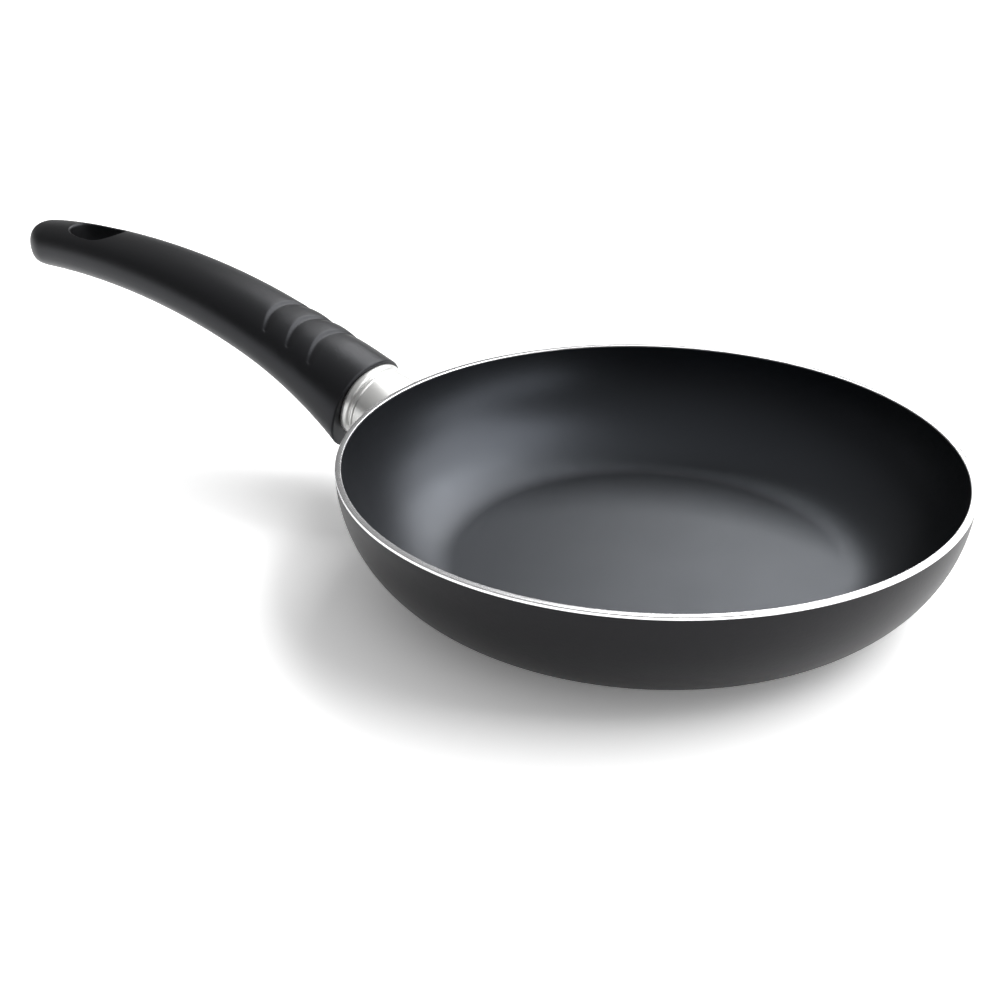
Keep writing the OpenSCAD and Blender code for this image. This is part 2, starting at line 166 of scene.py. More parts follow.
class Finishes(bpy.types.PropertyGroup):
    """Colours, roughness and gloss of the finishes"""
    lining: colour("Lining", (0.0012, 0.0013, 0.0016), "Non-stick lining")
    lining_rough: amount("Lining roughness", 0.38, "Roughness of the lining")
    lining_gloss: amount("Lining gloss", 0.7, "Specular level of the lining")
    lining_sheen: colour("Lining sheen", (0.80, 0.87, 1.0), "Tint of the lining's gloss")
    lacquer: colour("Lacquer", (0.008, 0.008, 0.009), "Anthracite lacquer")
    lacquer_rough: amount("Lacquer roughness", 0.4, "Roughness of the lacquer")
    lacquer_gloss: amount("Lacquer gloss", 0.21, "Specular level of the lacquer")
    lacquer_sheen: colour("Lacquer sheen", (0.96, 0.95, 1.0), "Tint of the lacquer's gloss")
    phenolic: colour("Phenolic", (0.007, 0.007, 0.0075), "Moulded handle")
    phenolic_rough: amount("Handle roughness", 0.42, "Roughness of the moulded handle")
    phenolic_gloss: amount("Handle gloss", 0.33, "Specular level of the moulded handle")
    phenolic_sheen: colour("Handle sheen", (0.88, 0.91, 1.0), "Tint of the handle's gloss")
    aluminium: colour("Aluminium", (0.86, 0.86, 0.87), "Bare turned aluminium")
    aluminium_rough: amount("Aluminium roughness", 0.2, "Roughness of the clean aluminium")
    steel: colour("Steel", (0.80, 0.795, 0.785), "Guard's steel")
    bead_rough: amount("Bead roughness", 0.07, "Roughness of the guard's bead and band")
    satin_rough: amount("Satin roughness", 0.03, "Extra roughness of the guard's sleeve")
    zinc: colour("Zinc", (0.70, 0.72, 0.74), "Plated screw and washers")
    zinc_rough: amount("Zinc roughness", 0.25, "Roughness of the plated pieces")


class Studio(bpy.types.PropertyGroup):
    """Camera, floor and lights"""
    eye: place("Camera", (-0.222191, 0.399593, 0.250169), "Where the camera stands")
    aim: place("Aim", (0.067613, -0.012756, 0.0), "The point that the camera looks at")
    lens: amount("Lens", 56.88, "Focal length in millimetres", 200)
    floor: colour("Floor", (0.92, 0.92, 0.92), "The pale floor")
    floor_half: length("Floor half size", 12, "Half the side of the square floor")
    floor_seen: amount("Seen floor", 1.62, "How much whiter the floor is where it is seen", 2)
    floor_glow: amount("Floor glow", 0.13, "What lifts the shadow on the floor where it is seen")
    sky: amount("Overhead light", 0.5, "Strength of the studio overhead")
    lamps_far: length("Lamp distance", 2.4, "Distance of the lamps from the pan")
    key_turn: angle("Key turn", 82, "Turn of the key lamp from the camera's view to the right")
    key_rise: angle("Key rise", 44, "Height of the key lamp over the floor")
    key_w: length("Key width", 2.3, "Width of the key lamp")
    key_h: length("Key height", 2.0, "Height of the key lamp")
    key_power: amount("Key strength", 3.4, "Brightness of the key lamp's face", 100)
    back_turn: angle("Back turn", 27, "Turn of the back lamp to the right")
    back_rise: angle("Back rise", 42, "Height of the back lamp over the floor")
    back_w: length("Back width", 1.6, "Width of the back lamp")
    back_h: length("Back height", 1.0, "Height of the back lamp")
    back_power: amount("Back strength", 6.0, "Brightness of the back lamp's face", 100)
    low_turn: angle("Low turn", 115, "Turn of the low lamp to the right")
    low_rise: angle("Low rise", 10, "Height of the low lamp over the floor")
    low_w: length("Low width", 3.0, "Width of the low lamp")
    low_h: length("Low height", 0.7, "Height of the low lamp")
    low_power: amount("Low strength", 2.7, "Brightness of the low lamp's face", 100)


GROUPS = {"pan": PanSizes, "guard": GuardSizes, "handle": HandleSizes, "finishes": Finishes,
          "studio": Studio}


def sizes(group):
    """The settings of one group on the scene."""
    return getattr(bpy.context.scene, "omelette_pan_" + group)


# Shaders

class Val:
    """A shader socket. Expressions on it add Math nodes."""

    def __init__(self, shader, socket):
        self.shader = shader
        self.socket = socket

    def maths(self, operation, first, second):
        return self.shader.add("ShaderNodeMath", {"operation": operation},
                               {0: first, 1: second})

    def __add__(self, other):
        return self.maths("ADD", self, other)

    def __sub__(self, other):
        return self.maths("SUBTRACT", self, other)

    def __rsub__(self, other):
        return self.maths("SUBTRACT", other, self)

    def __mul__(self, other):
        return self.maths("MULTIPLY", self, other)

    def __pow__(self, other):
        return self.maths("POWER", self, other)

    __radd__ = __add__
    __rmul__ = __mul__

    def at_least(self, other):
        return self.maths("MAXIMUM", self, other)

    def above(self, level, soft):
        """0 well below a level and 1 well above it, with a soft step."""
        return self.shader.add("ShaderNodeMapRange", {"interpolation_type": "SMOOTHSTEP"},
                               {"Value": self, "From Min": level - soft,
                                "From Max": level + soft})

    def swing(self, width):
        """Noise about 0.5 turned into a change of this width about 0."""
        return (self - 0.5) * width


class Shader:
    """Adds nodes to a node tree."""

    def __init__(self, tree):
        self.tree = tree
        tree.nodes.clear()

    def add(self, kind, settings=None, sockets=None, out=0):
        """A node of a kind, with its settings first and then its sockets' values or links."""
        node = self.tree.nodes.new(kind)
        for key, value in (settings or {}).items():
            setattr(node, key, value)
        for key, value in (sockets or {}).items():
            if isinstance(value, Val):
                self.tree.links.new(value.socket, node.inputs[key])
            else:
                node.inputs[key].default_value = value
        return Val(self, node.outputs[out]) if len(node.outputs) else node

    def place(self):
        """The point in the part's frame, in metres."""
        return self.add("ShaderNodeTexCoord", out="Object")

    def split(self, vector):
        """The three numbers of a vector."""
        node = self.add("ShaderNodeSeparateXYZ", None, {0: vector}).socket.node
        return [Val(self, node.outputs[i]) for i in range(3)]

    def join(self, x, y, z):
        """A vector of three numbers."""
        return self.add("ShaderNodeCombineXYZ", None, {0: x, 1: y, 2: z})

    def noise(self, vector, per_metre, detail, rough=0.5):
        """Noise about 0.5."""
        return self.add("ShaderNodeTexNoise", None,
                        {"Vector": vector, "Scale": per_metre, "Detail": detail,
                         "Roughness": rough})

    def blend(self, share, first, second):
        """One colour over another."""
        return self.add("ShaderNodeMix", {"data_type": "RGBA"}, {0: share, 6: first, 7: second},
                        out=2)

    def rays(self):
        """1 for what the camera sees directly, in gloss, and through glass."""
        return [self.add("ShaderNodeLightPath", out=f"Is {kind} Ray")
                for kind in ("Camera", "Glossy", "Transmission")]

    def bump(self, height, strength, distance):
        """A normal from a height."""
        return self.add("ShaderNodeBump", None,
                        {"Height": height, "Strength": strength, "Distance": distance})

    def surface(self, **sockets):
        """A Principled surface on the output."""
        named = {key.replace("_", " "): value for key, value in sockets.items()}
        self.output(self.add("ShaderNodeBsdfPrincipled", None, named))

    def output(self, closure, kind="ShaderNodeOutputMaterial"):
        self.add(kind, None, {"Surface": closure})


def rgba(values, scale=1.0):
    """A colour, lighter or darker by a scale, with its alpha."""
    return tuple(v * scale for v in values) + (1.0,)


def finish(name, paint):
    """A material, painted once and then shared."""
    material = bpy.data.materials.get(name)
    if material is None:
        material = bpy.data.materials.new(name)
        material.use_nodes = True
        paint(Shader(material.node_tree), sizes("finishes"))
    return material


RESIN_IOR = 1.5  # of the coats and the moulding
MOTTLE = (0.85, 1.15)  # darkest and lightest cloud of a coat or the moulding
FLECK_SHARE = 0.5  # how much of a fleck's colour shows in the lining
FLECK_LIGHT = 9  # how much lighter than the lining a fleck is
STAIN_SHARE = 0.35  # how much of a stain's colour shows on bare aluminium
STAIN_DARK = 0.82  # how dark a stain on bare aluminium is
ZINC_DARK = 0.75  # how dark the dull places of the zinc are
BRUSH_DRAWN = 0.03  # how far the brushing is drawn out round the sleeve


def nonstick(shader, looks):
    """Sprayed lining: black, with a soft sheen, a fine grain and faint clouds."""
    here = shader.place()
    grain = shader.noise(here, per_metre=2600, detail=2, rough=0.6)
    cloud = shader.noise(here, per_metre=38, detail=3)
    fleck = shader.noise(here, per_metre=5200, detail=1).above(0.69, soft=0.03)
    base = shader.blend(fleck * FLECK_SHARE, rgba(looks.lining),
                        rgba(looks.lining, FLECK_LIGHT))
    shader.surface(Base_Color=base, Roughness=looks.lining_rough + cloud.swing(0.1),
                   IOR=RESIN_IOR, Specular_IOR_Level=looks.lining_gloss,
                   Specular_Tint=rgba(looks.lining_sheen),
                   Normal=shader.bump(grain, strength=0.12, distance=0.0002))


def lacquer(shader, looks):
    """Anthracite lacquer: satin, with a fine orange peel."""
    here = shader.place()
    peel = shader.noise(here, per_metre=900, detail=2)
    cloud = shader.noise(here, per_metre=30, detail=3)
    base = shader.blend(cloud, *(rgba(looks.lacquer, light) for light in MOTTLE))
    shader.surface(Base_Color=base, Roughness=looks.lacquer_rough + cloud.swing(0.06),
                   IOR=RESIN_IOR, Specular_IOR_Level=looks.lacquer_gloss,
                   Specular_Tint=rgba(looks.lacquer_sheen),
                   Normal=shader.bump(peel, strength=0.08, distance=0.0003))


def phenolic(shader, looks):
    """Moulded phenolic: matt black with the fine texture of the mould."""
    here = shader.place()
    pores = shader.noise(here, per_metre=3400, detail=2, rough=0.6)
    cloud = shader.noise(here, per_metre=45, detail=3)
    base = shader.blend(cloud, *(rgba(looks.phenolic, light) for light in MOTTLE))
    shader.surface(Base_Color=base, Roughness=looks.phenolic_rough + cloud.swing(0.08),
                   IOR=RESIN_IOR, Specular_IOR_Level=looks.phenolic_gloss,
                   Specular_Tint=rgba(looks.phenolic_sheen),
                   Normal=shader.bump(pores, strength=0.10, distance=0.0002))


def turned(shader, looks):
    """Aluminium off the lathe: fine rings about the pan's axis, and faint stains."""
    here = shader.place()
    x, y, z = shader.split(here)
    radius = (x * x + y * y) ** 0.5
    ring = shader.noise(shader.join(radius, z, 0.0), per_metre=5200, detail=1)
    stain = shader.noise(here, per_metre=60, detail=3)
    base = shader.blend(stain * STAIN_SHARE, rgba(looks.aluminium),
                        rgba(looks.aluminium, STAIN_DARK))
    shader.surface(Base_Color=base, Metallic=1.0,
                   Roughness=looks.aluminium_rough + stain * 0.08 + ring * 0.06,
                   Normal=shader.bump(ring, strength=0.16, distance=0.00005))


def guard_steel(shader, looks):
    """Stainless sheet: a polished bead and band, and a satin sleeve brushed round its axis."""
    guard = sizes("guard")
    here = shader.place()
    x, y, z = shader.split(here)
    along = (x - face_x()) * cos(guard.tilt) + (z - face_z()) * sin(guard.tilt)
    up = (z - face_z()) * cos(guard.tilt) - (x - face_x()) * sin(guard.tilt)
    satin = 1 - along.above(-guard.bead - 0.4 * guard.band, soft=0.00015)
    brushed = shader.noise(shader.join(along, y * BRUSH_DRAWN, up * BRUSH_DRAWN),
                           per_metre=7000, detail=2)
    smudge = shader.noise(here, per_metre=90, detail=2)
    shader.surface(Base_Color=rgba(looks.steel), Metallic=1.0,
                   Roughness=(looks.bead_rough + satin * (looks.satin_rough + brushed.swing(0.06))
                              + smudge.swing(0.03)),
                   Normal=shader.bump(brushed, strength=satin * 0.1, distance=0.00003))


def plated(shader, looks):
    """Bright zinc on the screw and its washers, with dull places."""
    stain = shader.noise(shader.place(), per_metre=400, detail=3)
    base = shader.blend(stain, rgba(looks.zinc), rgba(looks.zinc, ZINC_DARK))
    shader.surface(Base_Color=base, Metallic=1.0, Roughness=looks.zinc_rough + stain * 0.12,
                   Normal=shader.bump(stain, strength=0.05, distance=0.0001))


# Meshes

MERGE = 1e-7  # points closer than this are one
SHARP = 30  # angle in degrees from which an edge shades sharp
TURNED_SHARP = 40  # the same on the turned pieces
GUARD_SHARP = 50  # the same on the guard
HANDLE_SHARP = 32  # the same on the handle
TURNED_POINTS = 288  # points round a turned piece
RING_POINTS = 192  # points round the guard and the handle
SLOT_POINTS = 160  # points round the hanging slot
ROD_POINTS = 96  # points round a drilled hole


def piece(name, points, faces, material=None, sharp=SHARP):
    """A mesh with smooth shading and sharp edges, in the part's frame."""
    mesh = bpy.data.meshes.new(name)
    mesh.from_pydata(points, [], faces)
    work = bmesh.new()
    work.from_mesh(mesh)
    bmesh.ops.remove_doubles(work, verts=work.verts, dist=MERGE)
    bmesh.ops.recalc_face_normals(work, faces=work.faces)
    work.to_mesh(mesh)
    work.free()
    made = bpy.data.objects.new(name, mesh)
    bpy.context.scene.collection.objects.link(made)
    if material is not None:
        mesh.materials.append(material)
    shade(mesh, sharp)
    return made


def shade(mesh, sharp):
    """Smooth shading, with sharp edges from an angle in degrees."""
    mesh.polygons.foreach_set("use_smooth", [True] * len(mesh.polygons))
    mesh.set_sharp_from_angle(angle=radians(sharp))


def skin(rings, wrap=False):
    """Points and faces through closed rings, back to the first with wrap, else with two caps."""
    n = len(rings[0])
    points = [p for ring in rings for p in ring]
    faces = []
    for r in range(len(rings) if wrap else len(rings) - 1):
        after = (r + 1) % len(rings)
        for i in range(n):
            j = (i + 1) % n
            faces.append((r * n + i, r * n + j, after * n + j, after * n + i))
    if not wrap:
        faces.append(tuple(range(n))[::-1])
        faces.append(tuple(range((len(rings) - 1) * n, len(rings) * n)))
    return points, faces


def turned_piece(name, outline, material):
    """A closed outline of (radius, height) points, turned about the pan's axis."""
    rings = [[(r * cos(2 * pi * i / TURNED_POINTS), r * sin(2 * pi * i / TURNED_POINTS), z)
              for i in range(TURNED_POINTS)] for r, z in outline]
    points, faces = skin(rings, wrap=True)
    return piece(name, points, faces, material, TURNED_SHARP)


def steps_between(first, last, count):
    """Numbers from the first to the last, with count steps between them."""
    return [first + (last - first) * i / count for i in range(count + 1)]


def section(turn, w, h, n):
    """A point of a superellipse, as (side, up) from its middle."""
    c, s = cos(turn), sin(turn)
    return (w / 2 * (1 if c > 0 else -1) * abs(c) ** (2 / n),
            h / 2 * (1 if s > 0 else -1) * abs(s) ** (2 / n))


def turns(count):
    """Turns of the points of a ring, which starts half a step past the side."""
    return [(i + 0.5) * 2 * pi / count for i in range(count)]


# Pan body and coats

AXIS_R = 1e-5  # keeps the innermost ring of a turned piece off its axis
FOOT_TURN = radians(86)  # turn of the wall's curve where the lacquer ends
FOOT_BEVEL = 0.0002  # of the bare base, inside the lacquer
WALL_STEPS = 84  # along the wall's curve
CORNER_STEPS = 5  # along a rounding of the rim
GROOVE_STEPS = 12  # across a groove
GROOVE_POWER = 4  # how flat a groove's bottom is


def wall_point(turn, side, under):
    """A point of the wall, a quarter ellipse from the upright rim, 0, to the flat base."""
    pan = sizes("pan")
    return (pan.base_r + (pan.rim_r - pan.base_r - side) * cos(turn),
            pan.height - (pan.height - under) * sin(turn))


def wall_curve(first, last, side, under):
    """Points of the wall from one turn to another."""
    return [wall_point(turn, side, under) for turn in steps_between(first, last, WALL_STEPS)]


def band_turn():
    """Turn of the wall's curve at the lower edge of the bare band."""
    pan = sizes("pan")
    return asin(pan.bare_band / pan.height)


def lining_turn():
    """Turn of the wall's curve at the lining's upper edge."""
    pan = sizes("pan")
    return asin(pan.lining_drop / pan.height)


def base_outline():
    """The underside from the axis to the foot, with its turned grooves."""
    pan = sizes("pan")
    base = [(AXIS_R, 0.0)]
    for g in range(pan.grooves):
        middle = pan.groove_first + g * pan.groove_pitch + pan.groove_w / 2
        for a in steps_between(-1, 1, GROOVE_STEPS):
            depth = pan.groove_depth * (1 - a ** GROOVE_POWER) ** 0.5
            base.append((middle + a * pan.groove_w / 2, depth))
    foot_r, foot_z = wall_point(FOOT_TURN, 0, 0)
    return base + [(foot_r - FOOT_BEVEL, 0.0), (foot_r, foot_z)]


def rim_outline():
    """The rounded rim, from outside to inside."""
    pan = sizes("pan")
    size = pan.rim_round

    def corner(middle_r, start, end):
        return [(middle_r + size * cos(a), pan.height - size + size * sin(a))
                for a in (radians(d) for d in steps_between(start, end, CORNER_STEPS))]

    return corner(pan.rim_r - size, 0, 90) + corner(pan.rim_r - pan.wall + size, 90, 180)


class OMELETTE_PAN_OT_body(bpy.types.Operator):
    """Turns the pressed aluminium body, with its bare rim and the grooves of its base"""
    bl_idname = "omelette_pan.body"
    bl_label = "Body"

    def execute(self, context):
        pan = sizes("pan")
        band, edge = band_turn(), lining_turn()
        outline = (base_outline() + wall_curve(FOOT_TURN, band, pan.coat, pan.coat)
                   + [wall_point(band, 0, 0)] + rim_outline()
                   + [wall_point(edge, pan.wall, pan.base)]
                   + wall_curve(edge, pi / 2, pan.wall - pan.coat, pan.base - pan.coat)
                   + [(AXIS_R, pan.base - pan.coat)])
        made = turned_piece("pressed_body", outline, finish("turned_aluminium", turned))
        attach(made, "root")
        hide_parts("pan_body")
        return {"FINISHED"}


class OMELETTE_PAN_OT_coats(bpy.types.Operator):
    """Adds the lining inside the body and the lacquer outside it"""
    bl_idname = "omelette_pan.coats"
    bl_label = "Coats"

    def execute(self, context):
        pan = sizes("pan")
        band, edge = band_turn(), lining_turn()
        inner = ([(AXIS_R, pan.base)] + wall_curve(pi / 2, edge, pan.wall, pan.base)
                 + wall_curve(edge, pi / 2, pan.wall - pan.coat, pan.base - pan.coat)
                 + [(AXIS_R, pan.base - pan.coat)])
        lining = turned_piece("sprayed_lining", inner, finish("sprayed_nonstick", nonstick))
        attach(lining, "root")
        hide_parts("nonstick_lining")
        outer = (wall_curve(band, FOOT_TURN, 0, 0)
                 + wall_curve(FOOT_TURN, band, pan.coat, pan.coat))
        coat = turned_piece("satin_lacquer", outer, finish("anthracite_lacquer", lacquer))
        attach(coat, "root")
        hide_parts("outer_lacquer")
        return {"FINISHED"}


# Flame guard

GUARD_SQUARE = 2.3  # squareness of the guard's section
SLEEVE_STEPS = 14  # from the wall to the band
SEARCH_START = -0.02  # where the search for the wall starts, from the handle's face
SEARCH_TRIES = 20  # steps of that search
SEARCH_SHARE = 0.8  # share of the distance left that each step goes
BEAD_TURNS = range(8, 176, 8)  # degrees over the bead, from its pan side

# Outlines of the guard, as pairs of distance and height, in shares of the band's length and height:
# the band's pan side, from its start, then its handle side and the groove, back from the bead.
BAND_BACK = ((0.15, 0.5), (0.3, 0.9), (0.45, 1.0))
BAND_FRONT = ((1.05, 1.0), (0.9, 0.9), (0.8, 0.5), (0.7, 0.1), (0.55, 0.0), (0.25, 0.0))
BEAD_FOOT = (0.1, 0.2)  # the same for the bead's foot, with its height as a share of the bead's


def face_x():
    """Where the middle of the handle's face is, along X."""
    return sizes("pan").rim_r + sizes("guard").reach


def face_z():
    """Height of the middle of the handle's face."""
    return sizes("pan").height - sizes("guard").drop


def axis_point(at, side, up):
    """A point near the screw's axis, where 0 is the handle's face and plus is to the tail."""
    tilt = sizes("guard").tilt
    return (face_x() + at * cos(tilt) - up * sin(tilt), side,
            face_z() + at * sin(tilt) + up * cos(tilt))


def meet_wall(side, up):
    """The place on the axis where a line with these offsets meets the lacquered wall."""
    pan = sizes("pan")
    at = SEARCH_START
    for _ in range(SEARCH_TRIES):
        x, y, z = axis_point(at, side, up)
        drop = 1 - min(max(z, 0), pan.height) / pan.height
        bulge = (pan.rim_r - pan.base_r) * sqrt(1 - drop * drop)
        at -= SEARCH_SHARE * (hypot(x, y) - pan.base_r - bulge)
    return at


def guard_ring(at, grow):
    """A ring of the guard, square with its axis."""
    guard = sizes("guard")
    return [axis_point(at, *section(t, guard.width + 2 * grow, guard.height + 2 * grow,
                                    GUARD_SQUARE)) for t in turns(RING_POINTS)]


def wall_ring(grow):
    """The guard's ring on the wall, wider and lower than the sleeve."""
    guard = sizes("guard")
    ring = []
    for t in turns(RING_POINTS):
        side, up = section(t, guard.width + 2 * (guard.flare + grow),
                           guard.height - 2 * (guard.pinch - grow), GUARD_SQUARE)
        ring.append(axis_point(meet_wall(side, up), side, up))
    return ring


def between(first, second, share):
    """A ring between two others."""
    return [tuple(a + (b - a) * share for a, b in zip(p, q)) for p, q in zip(first, second)]


class OMELETTE_PAN_OT_guard(bpy.types.Operator):
    """Shapes the flame guard, with its sleeve, band, groove and bead"""
    bl_idname = "omelette_pan.guard"
    bl_label = "Flame guard"

    def execute(self, context):
        guard = sizes("guard")
        throat = -(guard.bead + 2 * guard.band)
        shape = [(throat + at * guard.band, up * guard.band_h) for at, up in BAND_BACK]
        shape += [(-guard.bead - at * guard.band, up * guard.band_h) for at, up in BAND_FRONT]
        shape += [(-guard.bead - BEAD_FOOT[0] * guard.band, BEAD_FOOT[1] * guard.bead_h)]
        shape += [(-guard.bead * (1 + cos(a)) / 2, guard.bead_h * sqrt(sin(a)))
                  for a in (radians(d) for d in BEAD_TURNS)]
        shape += [(0, guard.bead_h / 3)]
        wall, start = wall_ring(0), guard_ring(throat, 0)
        rings = [between(wall, start, share) for share in steps_between(0, 1, SLEEVE_STEPS)]
        rings += [guard_ring(at, up) for at, up in shape]
        rings += [guard_ring(0, -guard.sheet), guard_ring(throat, -guard.sheet),
                  wall_ring(-guard.sheet)]
        made = piece("steel_guard", *skin(rings, wrap=True), finish("guard_steel", guard_steel),
                     GUARD_SHARP)
        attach(made, "root")
        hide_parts("flame_guard")
        return {"FINISHED"}


# Handle

SPINE_STEPS = 400  # along the centre line, where its length is measured
HALVINGS = 40  # of the search for a length on it
TURN_LEN = 0.052  # over which the sections turn from the guard's tilt to the line's slope
RETURN_POWER = 1.6  # how convex the top comes back after a step
SIDE_START = 0.54  # sine of the turn round the section where a step ends at the sides
SIDE_EDGE = 0.1  # how softly the slope of a step ends there
SIDE_FADE = 0.36  # how much softer its top ends
BOW_FADE = 0.036  # length behind the last step over which the rings straighten
NOSE_GAP = 0.0003  # between the nose and the guard
NOSE_BEVEL = 0.0005  # of the nose's end
CUT_PAST = 0.001  # how far a cutter goes past what it cuts
FACE_TURNS = (90, 70, 50, 30, 15, 0)  # degrees along the bevel of the face
FRONT_STEPS = 10  # from the face to the first step
FIRST_FRONT = 2  # the first of them outside the bevel of the face
SLOPE_STEPS = 8  # down a step's slope
TOP_SHARES = (0.03, 0.08, 0.15, 0.25, 0.35, 0.5, 0.65, 0.8, 0.93)  # along its top
SHAFT_STEPS = 56  # from the last step to the tail's rounding
TAIL_TURNS = (*range(86, 6, -4), 5, 3, 1.5)  # degrees left in the tail's rounding
SLOT_SQUARE = 2.6  # squareness of the hanging slot
SLOT_TURNS = (90, 80, 70, 60, 50, 40, 32)  # degrees along the rounding of its edges
SLOT_RISE = 0.45  # how far the edge's last ring stands out, in shares of its rounding
WIDEST = 0.98  # keeps a point of the slot on the section


def smooth(x):
    """A soft step from 0 to 1."""
    c = min(max(x, 0), 1)
    return c * c * (3 - 2 * c)


class Spine:
    """The handle's centre line, a cubic curve in the XZ plane, measured along its length."""

    def __init__(self, handle, tilt):
        front = Vector((face_x() + handle.drop * sin(tilt), face_z() - handle.drop * cos(tilt)))
        tail = Vector((face_x() + handle.reach, face_z() + handle.lift))
        self.knots = [front,
                      front + handle.front_pull * Vector((cos(handle.rise), sin(handle.rise))),
                      tail - handle.tail_pull * Vector((cos(handle.fall), -sin(handle.fall))),
                      tail]
        self.shares = steps_between(0, 1, SPINE_STEPS)
        self.lengths = [0.0]
        for a, b in zip(self.shares, self.shares[1:]):
            self.lengths.append(self.lengths[-1] + (self.cubic(b) - self.cubic(a)).length)
        self.total = self.lengths[-1]

    def cubic(self, t):
        """The point at one of the curve's own numbers."""
        a, b, c, d = self.knots
        return (1 - t) ** 3 * a + 3 * (1 - t) ** 2 * t * b + 3 * (1 - t) * t * t * c + t ** 3 * d

    def share_at(self, s):
        """The curve's own number for a length."""
        s = min(max(s, 0), self.total)
        low, high = 0, len(self.lengths) - 1
        while high - low > 1:
            middle = (low + high) // 2
            low, high = (middle, high) if self.lengths[middle] <= s else (low, middle)
        run = self.lengths[high] - self.lengths[low]
        return self.shares[low] + (self.shares[high] - self.shares[low]) * (
            (s - self.lengths[low]) / run)

    def at(self, s):
        """The point and the slope of the line at a length."""
        t = self.share_at(s)
        a, b, c, d = self.knots
        run = (1 - t) ** 2 * (b - a) + 2 * (1 - t) * t * (c - b) + t * t * (d - c)
        return self.cubic(t), atan2(run.y, run.x)

    def length_at_x(self, x):
        """The length at which the line reaches an X."""
        low, high = 0.0, self.total
        for _ in range(HALVINGS):
            middle = (low + high) / 2
            low, high = (middle, high) if self.at(middle)[0].x < x else (low, middle)
        return (low + high) / 2


class Moulding:
    """The outside of the handle as rings along its centre line."""

    def __init__(self):
        self.sizes = sizes("handle")
        self.tilt = sizes("guard").tilt
        self.spine = Spine(self.sizes, self.tilt)
        self.total = self.spine.total

    def rounded(self, s, run):
        """Share of the full section that the tail's rounding leaves."""
        c = max(0.0, 1 - (self.total - s) / run)
        return sqrt(max(0.0, 1 - c * c))

    def flared(self, s):
        """Share of the front's flare."""
        return max(0.0, 1 - s / self.sizes.flare_len) ** 2

    def width(self, s):
        """Width of the section at a length."""
        h = self.sizes
        return ((h.front_w + (h.tail_w - h.front_w) * s / self.total + h.flare_w * self.flared(s))
                * self.rounded(s, h.tail_round))

    def thickness(self, s):
        """Thickness of the section at a length."""
        h = self.sizes
        return ((h.front_t + (h.tail_t - h.front_t) * s / self.total + h.flare_t * self.flared(s))
                * self.rounded(s, h.tail_edge))

    def point(self, s, side, up):
        """A point off the centre line, on the section at a length."""
        middle, slope = self.spine.at(s)
        tilt = self.tilt + (slope - self.tilt) * smooth(s / TURN_LEN)
        return (middle.x - up * sin(tilt), side, middle.y + up * cos(tilt))

    def bow(self, s):
        """How far the sides of the ring at a length lie before its middle."""
        h = self.sizes
        return (h.step_bow * smooth(s / h.step_pitch)
                * (1 - smooth((s - h.step_start) / BOW_FADE)))

    def bow_side(self, turn):
        """Share of the bow at a turn round the section: 0 on top, 1 at the sides and below."""
        return abs(cos(turn)) ** (4 / self.sizes.squareness) if sin(turn) > 0 else 1.0

    def grip(self, s, turn):
        """Height of the grip over the plain moulding. Each step drops towards the pan, the top
        comes back in a convex curve, and the surface swells on both sides of it."""
        h = self.sizes
        phase = (h.step_start - s) / h.step_pitch
        if phase <= 0 or phase >= h.steps or sin(turn) <= 0:
            return 0.0
        q, run = phase - int(phase), h.step_run / h.step_pitch
        share = max(0.0, (q - run) / (1 - run))
        deep = smooth(q / run) if q < run else (1 - share) ** RETURN_POWER
        spread = SIDE_EDGE + SIDE_FADE * smooth(q / run - 1)
        swell = h.step_swell * 4 * share * (1 - share) * sin(2 * turn) ** 2
        return ((swell if phase < h.steps - 1 else 0.0)
                - h.step_h * deep * smooth((sin(turn) - SIDE_START) / spread))

    def ring(self, s, shrink=0.0):
        """A ring of the outside, bowed on the grip."""
        made = []
        for t in turns(RING_POINTS):
            at = s - self.bow(s) * self.bow_side(t)
            side, up = section(t, self.width(at) - 2 * shrink, self.thickness(at) - 2 * shrink,
                               self.sizes.squareness)
            made.append(self.point(at, side, up + self.grip(s, t)))
        return made

    def nose(self, at, shrink):
        """A ring of the nose that fits inside the guard."""
        guard = sizes("guard")
        inset = 2 * (guard.sheet + NOSE_GAP + shrink)
        return [axis_point(at, *section(t, guard.width - inset, guard.height - inset,
                                        GUARD_SQUARE)) for t in turns(RING_POINTS)]

    def stations(self):
        """Lengths of the rings: close on the steps and at the tail."""
        h = self.sizes
        run = h.step_run / h.step_pitch
        shares = steps_between(0, run, SLOPE_STEPS) + [run + (1 - run) * u for u in TOP_SHARES]
        front = h.step_start - h.steps * h.step_pitch
        grip = [front * i / FRONT_STEPS for i in range(FIRST_FRONT, FRONT_STEPS + 1)]
        grip += [h.step_start - (i + q) * h.step_pitch
                 for i in range(h.steps - 1, -1, -1) for q in reversed(shares)]
        shaft = steps_between(h.step_start, self.total - h.tail_round, SHAFT_STEPS)[1:]
        tail = [self.total - h.tail_round * (1 - cos(radians(a))) for a in TAIL_TURNS]
        return grip + shaft + tail

    def rings(self):
        """All rings from the nose's end to the tail."""
        h = self.sizes
        front = [self.nose(-h.nose, NOSE_BEVEL), self.nose(-h.nose + NOSE_BEVEL, 0),
                 self.nose(0, 0)]
        bevel = [self.ring(h.face_bevel * (1 - sin(a)), h.face_bevel * (1 - cos(a)))
                 for a in (radians(d) for d in FACE_TURNS)]
        return front + bevel + [self.ring(s) for s in self.stations()]


